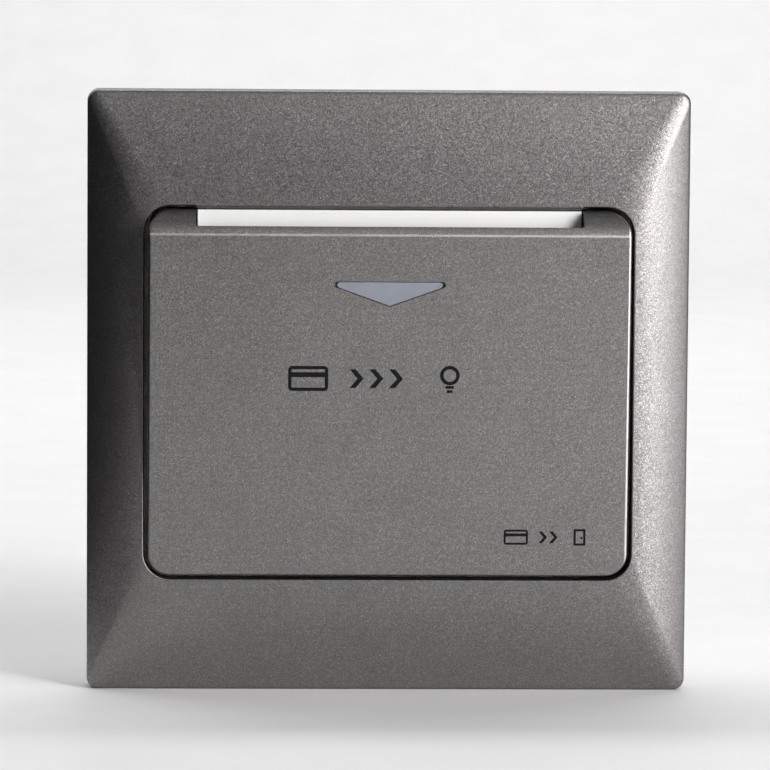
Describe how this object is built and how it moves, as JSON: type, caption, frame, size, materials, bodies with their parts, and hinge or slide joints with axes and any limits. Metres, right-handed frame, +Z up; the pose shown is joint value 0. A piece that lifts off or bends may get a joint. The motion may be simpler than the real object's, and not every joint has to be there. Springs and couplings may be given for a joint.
{
  "type": "hotel key card switch",
  "caption": "Square wall switch with a pillow-shaped frame and a wedge hood whose card slot, sprung feeler lever and plunger switch hold the room's relay on while a key card is in.",
  "frame": {"origin": "midway between the two wall screws, on the wall plane", "axes": "+Z up, +X to the right seen from the front, -Y out of the wall towards the user, +Y into the wall box"},
  "size_m": [0.086, 0.043, 0.086],
  "materials": {
    "grey_paint": "warm grey metallic flake paint, satin",
    "frosted_lens": "frosted translucent",
    "white_plastic": "moulded, fine grain",
    "clear_plastic": "clear, polished",
    "steel": "zinc plated",
    "black_plastic": "moulded",
    "grey_plastic": "moulded",
    "red_plastic": "moulded",
    "lamp_white": "clear resin",
    "board_green": "solder mask",
    "relay_blue": "moulded",
    "capacitor_yellow": "potted box",
    "varistor_blue": "dipped epoxy",
    "resistor_tan": "lacquer",
    "fuse_brown": "moulded",
    "brass": "stamped"
  },
  "bodies": {
    "base": {"outer_frame": "grey_paint", "hood_panel": "grey_paint", "arrow_lens": "frosted_lens", "card_guide": "white_plastic", "base_plate": "white_plastic", "lever_pin": "steel", "lever_spring": "steel", "switch_body": "black_plastic", "light_pipe": "clear_plastic", "status_leds": "lamp_white", "main_board": "board_green", "relay": "relay_blue", "dropper_capacitor": "capacitor_yellow", "smoothing_capacitor": "black_plastic", "varistor": "varistor_blue", "rectifier": "black_plastic", "surge_resistors": "resistor_tan", "fuse": "fuse_brown", "driver_transistor": "black_plastic", "flyback_diode": "black_plastic", "controller_chip": "black_plastic", "terminal_block": "grey_plastic", "terminal_clamps": "brass", "terminal_screws": "steel", "rear_housing": "white_plastic", "housing_screws": "steel", "board_screws": "steel"},
    "lever": {"card_lever": "white_plastic"},
    "plunger": {"switch_plunger": "red_plastic"}
  },
  "joints": [
    {"name": "lever_swing", "type": "hinge", "parent": "base", "child": "lever", "pos_m": [0, -0.00347, 0.008], "axis": [1, 0, 0], "range_deg": [0, 9], "stiffness_Nm_per_rad": 0.04, "springref_deg": -11.46, "deforming": ["lever_spring"]},
    {"name": "plunger_slide", "type": "slide", "parent": "base", "child": "plunger", "axis": [0, 1, 0], "range_m": [0, 0.0015]}
  ],
  "couplings": [
    {"joint": "plunger_slide", "follows": "lever_swing", "m_per_rad": 0.009346}
  ]
}
